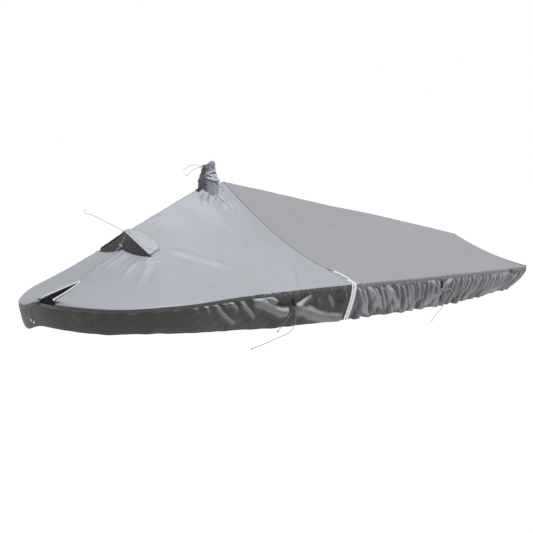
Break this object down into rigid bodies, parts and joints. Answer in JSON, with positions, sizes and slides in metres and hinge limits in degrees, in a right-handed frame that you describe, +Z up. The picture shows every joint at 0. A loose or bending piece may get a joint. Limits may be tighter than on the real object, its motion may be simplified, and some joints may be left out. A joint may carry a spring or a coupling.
{
  "type": "boat cover",
  "caption": "Tented cover for an open sailing dinghy: ridged top panels, gathered skirts, a tied collar at the peak, a hooded vent, bound side slots and webbing tie loops.",
  "frame": {"origin": "On the axis of the collar, just under the cloth of the peak, where the cover rests on what holds it up", "axes": "-X points to the bow, +X to the stern, +Z up, -Y to port"},
  "size_m": [4.4316, 1.6632, 1.1913],
  "materials": {
    "panel_cloth": "satin coated cloth, mid grey, slightly blue",
    "skirt_cloth": "coated cloth, darker grey",
    "hood_cloth": "satin coated cloth, lighter grey",
    "white_binding": "white woven tape",
    "black_webbing": "black woven webbing",
    "pale_cord": "pale cord",
    "brown_cord": "tan-brown cord",
    "clear_plastic": "pale translucent caps",
    "stud_metal": "bright wire"
  },
  "bodies": {
    "root": {"aft_panel_port": "panel_cloth", "aft_panel_starboard": "panel_cloth", "aft_skirt_port": "skirt_cloth", "aft_skirt_starboard": "skirt_cloth", "collar": "panel_cloth", "collar_knot": "pale_cord", "collar_tab": "black_webbing", "collar_tail_high": "pale_cord", "collar_tail_low": "pale_cord", "collar_tie": "pale_cord", "fore_knot": "brown_cord", "fore_panel_port": "panel_cloth", "fore_panel_starboard": "panel_cloth", "fore_skirt_port": "skirt_cloth", "fore_skirt_starboard": "skirt_cloth", "fore_tie_far": "brown_cord", "fore_tie_far_knot": "brown_cord", "fore_tie_near": "brown_cord", "fore_tie_near_knot": "brown_cord", "hood_hook": "stud_metal", "hood_tie": "pale_cord", "mid_bow": "pale_cord", "mid_bow_knot": "pale_cord", "mid_hitch": "pale_cord", "mid_knot": "pale_cord", "mid_tail": "pale_cord", "mid_tie": "brown_cord", "mid_tie_knot": "brown_cord", "mid_tie_pale": "pale_cord", "nose_binding_port": "white_binding", "nose_binding_starboard": "white_binding", "press_stud_1": "clear_plastic", "press_stud_2": "clear_plastic", "slot_binding_aft_port": "white_binding", "slot_binding_aft_starboard": "white_binding", "slot_binding_fore_port": "white_binding", "slot_binding_fore_starboard": "white_binding", "stern_knot": "pale_cord", "stern_panel": "skirt_cloth", "stern_tail": "pale_cord", "tie_loop_fore_port": "black_webbing", "tie_loop_fore_starboard": "black_webbing", "tie_loop_mid_port": "black_webbing", "tie_loop_mid_starboard": "black_webbing", "tie_loop_stern_port": "black_webbing", "tie_loop_stern_starboard": "black_webbing", "vent_cord": "pale_cord", "vent_hood": "hood_cloth", "vent_tail": "pale_cord", "vent_toggle": "pale_cord"}
  },
  "joints": []
}
